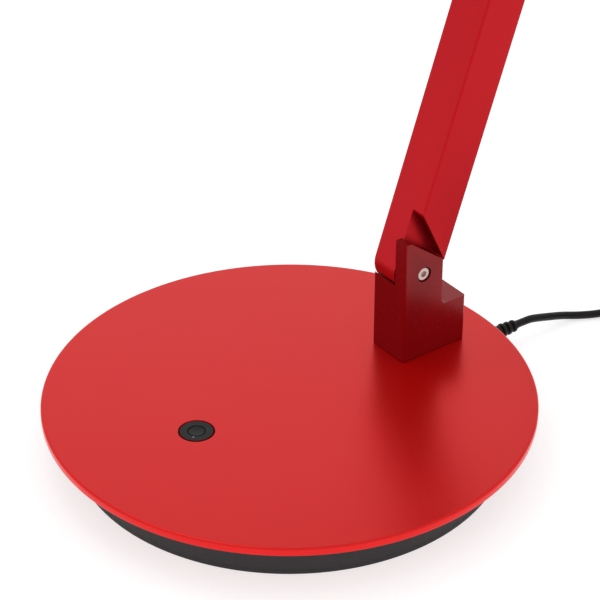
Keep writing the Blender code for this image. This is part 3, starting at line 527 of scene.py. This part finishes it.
def make_button():
    """A bezel with a sloping outer edge coloured dark red as a painted reflection of the red plate, and
    a fine groove round a slightly dished cap.
    """
    bezel_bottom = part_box("button_bezel")[0].z
    shoulder = PLATE_BOTTOM - 0.0004
    flange_radius, well_radius = 0.0098, 0.0060
    well_roof = PLATE_BOTTOM + 0.0004
    bezel = placed("bezel", turned([
        (BEZEL_BORE, PLATE_TOP - 0.00012), (BEZEL_BORE + 0.00012, PLATE_TOP),
        (BEZEL_RADIUS - 0.00050, PLATE_TOP), (BEZEL_RADIUS - 0.00046, PLATE_TOP - 0.00003),
        (BEZEL_RADIUS - 0.00002, PLATE_TOP - 0.00040), (BEZEL_RADIUS, PLATE_TOP - 0.00056),
        (BEZEL_RADIUS, shoulder), (flange_radius, shoulder), (flange_radius, bezel_bottom),
        (well_radius, bezel_bottom), (well_radius, well_roof), (BEZEL_BORE, well_roof),
    ], 96, is_ring=True, band=(2, 5)), "button_black", (0.0, BUTTON_Y, 0.0))
    # painted reflection: the sloping edge's faces take the dark red of the plate's reflection
    bezel.data.materials.append(FINISHES["button_edge_painted_reflection"])
    lens = (LENS_LOW + LENS_HIGH) / 2
    lens_radius = (LENS_HIGH.x - LENS_LOW.x) / 2 + 0.0001
    drill(bezel, "lens_tool", turned([
        (0.0, bezel_bottom - 0.001), (lens_radius, bezel_bottom - 0.001),
        (lens_radius, PLATE_TOP + 0.001), (0.0, PLATE_TOP + 0.001)], 24), (lens.x, lens.y, 0.0))
    stand_for(bezel, "base", "button_black", "button_bezel")
    low, high = CAP_LOW.z, CAP_HIGH.z
    stem_radius, collar_radius = 0.0016, 0.0055
    collar = PLATE_BOTTOM + 0.0001
    collar_low = collar - 0.0010
    cap = placed("push_cap", turned([
        (0.0, low), (stem_radius, low), (stem_radius, collar_low),
        (collar_radius, collar_low), (collar_radius, collar),
        (CAP_RADIUS, collar), (CAP_RADIUS, high - 0.00030), (CAP_RADIUS - 0.00010, high - 0.00010),
        (CAP_RADIUS - 0.00028, high), (CAP_RADIUS - 0.0008, high - 0.00003), (0.0016, high - 0.00016),
        (0.0, high - 0.00020),
    ], 72), "button_black", (0.0, BUTTON_Y, 0.0))
    stand_for(cap, "button", "button_black", "button_cap")


def make_foot():
    """The foot pad, closed up to the housing and flush with its wall."""
    housing_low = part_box("base_housing")[0].z
    chamfer = 0.0006
    foot = placed("foot", turned([
        (0.0, 0.0), (HOUSING_RADIUS - 0.0004, 0.0), (HOUSING_RADIUS - 0.0001, 0.0001),
        (HOUSING_RADIUS, 0.0004), (HOUSING_RADIUS, housing_low + chamfer),
        (HOUSING_RADIUS - chamfer, housing_low), (0.0, housing_low)], 192), "rubber")
    stand_for(foot, "base", "rubber", "foot_pad")


def make_boot():
    """The ribbed strain relief, its ribs well rounded."""
    head_radius, neck_radius = 0.0050, 0.0032       # inside the housing, and in its wall's hole
    neck_start = BOOT_LOW.y + 0.0020
    start = HOUSING_RADIUS + 0.0003                 # the collar outside the wall
    profile = [
        (0.0, BOOT_LOW.y), (head_radius, BOOT_LOW.y), (head_radius, neck_start),
        (neck_radius, neck_start), (neck_radius, start),
        (0.0042, start), (0.0046, start + 0.0004), (0.0046, start + 0.0026),
        (0.0044, start + 0.0033), (0.0038, start + 0.0039), (0.0036, start + 0.0060),
        (0.0031, BOOT_TIP_Y - 0.0108), (0.0028, BOOT_TIP_Y - 0.0104),
    ]
    for rib in range(3):
        rib_start = BOOT_TIP_Y - 0.0100 + rib * 0.0033
        radius = 0.0035 - 0.00025 * rib
        core = 0.0025 - 0.0002 * rib
        profile.append((core, rib_start - 0.0001))
        profile += arc_over(rib_start, rib_start + 0.0018, core + 0.0002, radius)
        profile.append((core, rib_start + 0.0019))
    profile += [(0.0021, BOOT_TIP_Y - 0.0005), (0.0020, BOOT_TIP_Y), (0.0, BOOT_TIP_Y)]
    boot = placed("cord_boot", turned(profile, 48, "Y"), "cord_black", (0.0, 0.0, CORD_EXIT[2]))
    return stand_for(boot, "base", "cord_black", "strain_relief")


def arc_over(start, end, low, high):
    """A rounded rib's outline from start to end along the axis, fuller than a half circle."""
    steps, fullness = 8, 0.55
    points = []
    for step in range(steps + 1):
        angle = math.pi * step / steps
        along = (start + end) / 2 - (end - start) / 2 * math.cos(angle)
        points.append((low + (high - low) * math.sin(angle) ** fullness, along))
    return points


def make_strap():
    """The hook-and-loop strap round one side of the coil, with rounded corners."""
    low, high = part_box("cord_tie")
    thickness = 0.0008
    round_out = 0.0028
    shape = bmesh.new()
    walls = []
    for inset in (0.0, thickness):
        outline = []
        for centre, start in (
            ((high.y - round_out, high.z - round_out), 0.0),
            ((low.y + round_out, high.z - round_out), 90.0),
            ((low.y + round_out, low.z + round_out), 180.0),
            ((high.y - round_out, low.z + round_out), 270.0),
        ):
            outline += arc(centre, round_out - inset, start, start + 90.0, 6)
        rings = [[shape.verts.new((x, y, z)) for y, z in outline] for x in (low.x, high.x)]
        walls.append(rings)
    outer, inner = walls
    for outer_ring, inner_ring in zip(outer, inner):
        skin(shape, outer_ring, inner_ring)
    skin(shape, *outer)
    skin(shape, *inner)
    mesh = mesh_from(shape, "strap", BOXY_SHARP)
    return stand_for(placed("strap", mesh, "tie_black"), "base", "tie_black", "cord_tie")


def make_adaptor():
    """The plug-in adaptor: well rounded all over, with a fine seam round its middle."""
    low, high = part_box("adaptor_body")
    middle, half = (low + high) / 2, (high - low) / 2
    corner, seam, depth = 0.0032, 0.00022, 0.00045
    turns = [math.radians(15.0 * step) for step in range(7)]
    near = [(low.y + corner * (1.0 - math.cos(turn)), corner * (1.0 - math.sin(turn))) for turn in turns]
    far = [(low.y + high.y - y, inset) for y, inset in reversed(near)]
    groove = [(middle.y + shift * seam, inset)
              for shift, inset in ((-2, 0.0), (-1, depth), (1, depth), (2, 0.0))]
    shape = bmesh.new()
    rings = []
    for y, inset in near + groove + far:
        radius = max(corner - inset, 0.0002)
        reach_x, reach_z = half.x - inset - radius, half.z - inset - radius
        outline = []
        for side_x, side_z, start in ((1, 1, 0.0), (-1, 1, 90.0), (-1, -1, 180.0), (1, -1, 270.0)):
            outline += arc((side_x * reach_x, side_z * reach_z), radius, start, start + 90.0, 6)
        rings.append([shape.verts.new((middle.x + x, y, middle.z + z)) for x, z in outline])
    for ring, following in zip(rings, rings[1:]):
        skin(shape, ring, following)
    shape.faces.new(rings[0])
    shape.faces.new(rings[-1])
    mesh = mesh_from(shape, "adaptor", BOXY_SHARP)
    return stand_for(placed("adaptor", mesh, "black_plastic"), "base", "black_plastic", "adaptor_body")


# ---------------------------------------------------------------- stage
def make_stage():
    """A white floor, and a white room that is a little brighter at the horizon."""
    horizon, overhead = 1.02, 0.81              # the room's strength
    horizon_top, overhead_start = 0.10, 0.24    # heights on a sphere of radius 1
    mesh = bpy.data.meshes.new("floor")
    shape = bmesh.new()
    bmesh.ops.create_grid(shape, x_segments=1, y_segments=1, size=8.0)
    shape.to_mesh(mesh)
    shape.free()
    floor = bpy.data.objects.new("floor", mesh)
    scene.collection.objects.link(floor)
    paper = bpy.data.materials.new("floor_paper")
    paper.use_nodes = True
    shader = paper.node_tree.nodes["Principled BSDF"]
    shader.inputs["Base Color"].default_value = (0.54, 0.54, 0.54, 1.0)
    shader.inputs["Roughness"].default_value = 0.9
    shader.inputs["Specular IOR Level"].default_value = 0.1
    shader.inputs["Emission Color"].default_value = (1.0, 1.0, 1.0, 1.0)
    shader.inputs["Emission Strength"].default_value = 0.65
    mesh.materials.append(paper)

    world = bpy.data.worlds.new("studio")
    scene.world = world
    world.use_nodes = True
    tree = world.node_tree
    background = tree.nodes["Background"]
    background.inputs["Color"].default_value = (1.0, 1.0, 1.0, 1.0)
    direction = tree.nodes.new("ShaderNodeSeparateXYZ")
    link(tree, tree.nodes.new("ShaderNodeTexCoord").outputs["Generated"], direction.inputs["Vector"])
    strength = spread(tree, direction.outputs["Z"], horizon, overhead, horizon_top, overhead_start)
    link(tree, strength, background.inputs["Strength"])
    scene.view_settings.view_transform = "Standard"


def area_light(name, location, target, size, power):
    data = bpy.data.lights.new(name, "AREA")
    data.shape = "SQUARE"
    data.size = size
    data.energy = power
    light = bpy.data.objects.new(name, data)
    scene.collection.objects.link(light)
    light.location = location
    light.rotation_mode = "QUATERNION"
    light.rotation_quaternion = (Vector(location) - Vector(target)).to_track_quat("Z", "Y")


make_camera()
cord, cord_length = make_cord()
for name, obj in nodes.items():
    paint(obj, NODE_FINISH[name])
make_plate()
make_button()
make_foot()
boot = make_boot()
strap = make_strap()
adaptor = make_adaptor()
for name in ("hinge_post", "lower_arm_tube", "upper_arm_tube", "elbow_bracket", "head_bracket",
             "head_hinge_block", "head_housing", "head_end_cap", "base_hinge_cap", "elbow_hinge_cap",
             "head_hinge_cap"):
    soften(nodes[name], EDGE_ROUND)
make_stage()
area_light("key", (-0.55, 0.34, 0.40), (-0.03, 0.0, 0.0), 0.5, 0.28)
area_light("top", (-0.30, -0.10, 0.90), (0.0, -0.1, 0.0), 0.4, 0.5)
